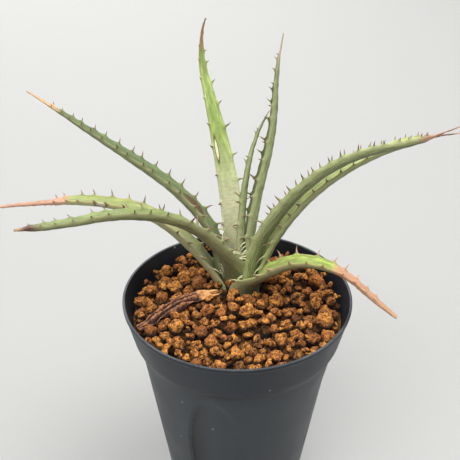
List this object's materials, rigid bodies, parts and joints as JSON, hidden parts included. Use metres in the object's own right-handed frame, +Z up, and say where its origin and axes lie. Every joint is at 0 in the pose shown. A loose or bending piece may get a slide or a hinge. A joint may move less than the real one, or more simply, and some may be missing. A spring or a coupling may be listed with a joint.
{
  "type": "potted dyckia",
  "caption": "Young spiny rosette succulent with long arching channelled leaves, growing in a tall round slit pot filled with baked-clay granules.",
  "frame": {"origin": "centre of the flat underside of the pot", "axes": "+Z up along the pot's axis; -Y is the front that faces the viewer; +X to the viewer's right"},
  "size_m": [0.211, 0.1168, 0.2322],
  "materials": {
    "pot_plastic": "moulded matte, slightly dusty",
    "soil_earth": "porous baked-clay granules, dry",
    "granule_clay": "rough baked clay",
    "crown_stem": "fibrous plant stem",
    "leaf_blade": "firm succulent leaf with a silvery bloom",
    "withered_husk": "dry, wrinkled"
  },
  "bodies": {
    "root": {"crown_and_root": "crown_stem", "granule_01": "granule_clay", "granule_02": "granule_clay", "granule_03": "granule_clay", "granule_04": "granule_clay", "granule_05": "granule_clay", "granule_06": "granule_clay", "granule_07": "granule_clay", "granule_08": "granule_clay", "granule_09": "granule_clay", "granule_10": "granule_clay", "granule_11": "granule_clay", "granule_12": "granule_clay", "granule_13": "granule_clay", "granule_14": "granule_clay", "granule_15": "granule_clay", "granule_16": "granule_clay", "granule_17": "granule_clay", "granule_18": "granule_clay", "granule_19": "granule_clay", "granule_20": "granule_clay", "granule_21": "granule_clay", "granule_22": "granule_clay", "granule_23": "granule_clay", "granule_24": "granule_clay", "granule_25": "granule_clay", "granule_26": "granule_clay", "granule_27": "granule_clay", "granule_28": "granule_clay", "granule_29": "granule_clay", "granule_30": "granule_clay", "granule_31": "granule_clay", "leaf_drooping_right": "leaf_blade", "leaf_front_left": "leaf_blade", "leaf_inner_narrow": "leaf_blade", "leaf_low_left": "leaf_blade", "leaf_lower_right": "leaf_blade", "leaf_tall_left": "leaf_blade", "leaf_tall_right": "leaf_blade", "leaf_upper_left": "leaf_blade", "leaf_upper_right": "leaf_blade", "pot": "pot_plastic", "soil": "soil_earth", "withered_leaf": "withered_husk"}
  },
  "joints": []
}
